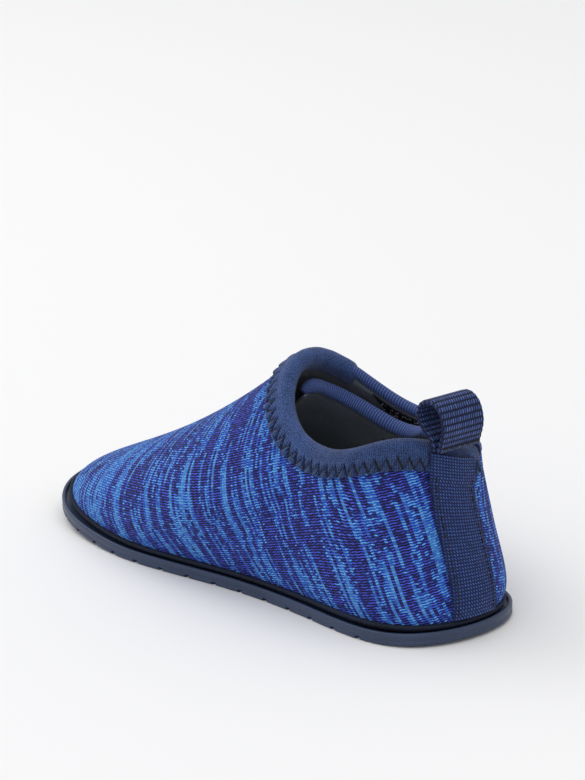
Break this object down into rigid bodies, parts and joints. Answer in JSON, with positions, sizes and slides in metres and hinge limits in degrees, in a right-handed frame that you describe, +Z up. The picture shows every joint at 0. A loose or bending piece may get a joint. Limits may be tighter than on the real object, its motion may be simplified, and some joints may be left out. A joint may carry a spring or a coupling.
{
  "type": "toddler water shoe",
  "caption": "Low-cut slip-on water shoe for a toddler's right foot: knit-faced neoprene upper, wrap-over hook-and-loop side flap, webbing heel pull loop, thin rubber sole.",
  "frame": {"origin": "on the ground under the middle of the outsole's length, on the flat of the outsole's underside", "axes": "+X to the toe, +Y to the big-toe side, +Z up"},
  "size_m": [0.1566, 0.0708, 0.0635],
  "materials": {
    "sole_rubber": "moulded thermoplastic rubber, satin",
    "rand_cloth": "dark woven rand",
    "board": "non-woven insole board",
    "foam": "EVA foam",
    "footbed_cloth": "brushed jersey",
    "knit_face": "space-dyed knit jersey",
    "neoprene": "neoprene foam",
    "lining": "knit jersey lining",
    "navy_binding": "soft jersey binding",
    "ribbed_elastic": "ribbed elastic binding",
    "navy_webbing": "woven webbing",
    "hook_plastic": "hook tape",
    "loop_pile": "loop pile",
    "black_thread": "sewing thread"
  },
  "bodies": {
    "shoe": {"outsole": "sole_rubber", "rand_tape": "rand_cloth", "insole_board": "board", "insole_stitching": "black_thread", "footbed_foam": "foam", "footbed_cover": "footbed_cloth", "vamp_face": "knit_face", "vamp_core": "neoprene", "vamp_lining": "lining", "quarter_face": "knit_face", "quarter_core": "neoprene", "quarter_lining": "lining", "collar_binding": "navy_binding", "collar_stitching": "black_thread", "quarter_edge_binding": "ribbed_elastic", "loop_tape": "loop_pile", "loop_tape_stitch": "black_thread", "heel_tape": "navy_webbing", "heel_tape_stitch_medial": "black_thread", "heel_tape_stitch_lateral": "black_thread", "heel_seam_stitch": "black_thread"},
    "flap": {"flap_face": "knit_face", "flap_core": "neoprene", "flap_lining": "lining", "flap_edge_binding": "ribbed_elastic", "hook_tape": "hook_plastic", "hook_tape_stitch": "black_thread"},
    "pull": {"pull_loop": "navy_webbing", "pull_loop_tack": "black_thread"}
  },
  "joints": [
    {"name": "flap_opening", "type": "hinge", "parent": "shoe", "child": "flap", "pos_m": [-0.0193, -0.036, 0.0189], "axis": [0, 0.4691, 0.8832], "range_deg": [0, 100]},
    {"name": "pull_loop_flex", "type": "hinge", "parent": "shoe", "child": "pull", "pos_m": [-0.07, 0, 0.0488], "axis": [0, -1, 0], "range_deg": [-8, 70], "stiffness_Nm_per_rad": 0.005}
  ]
}
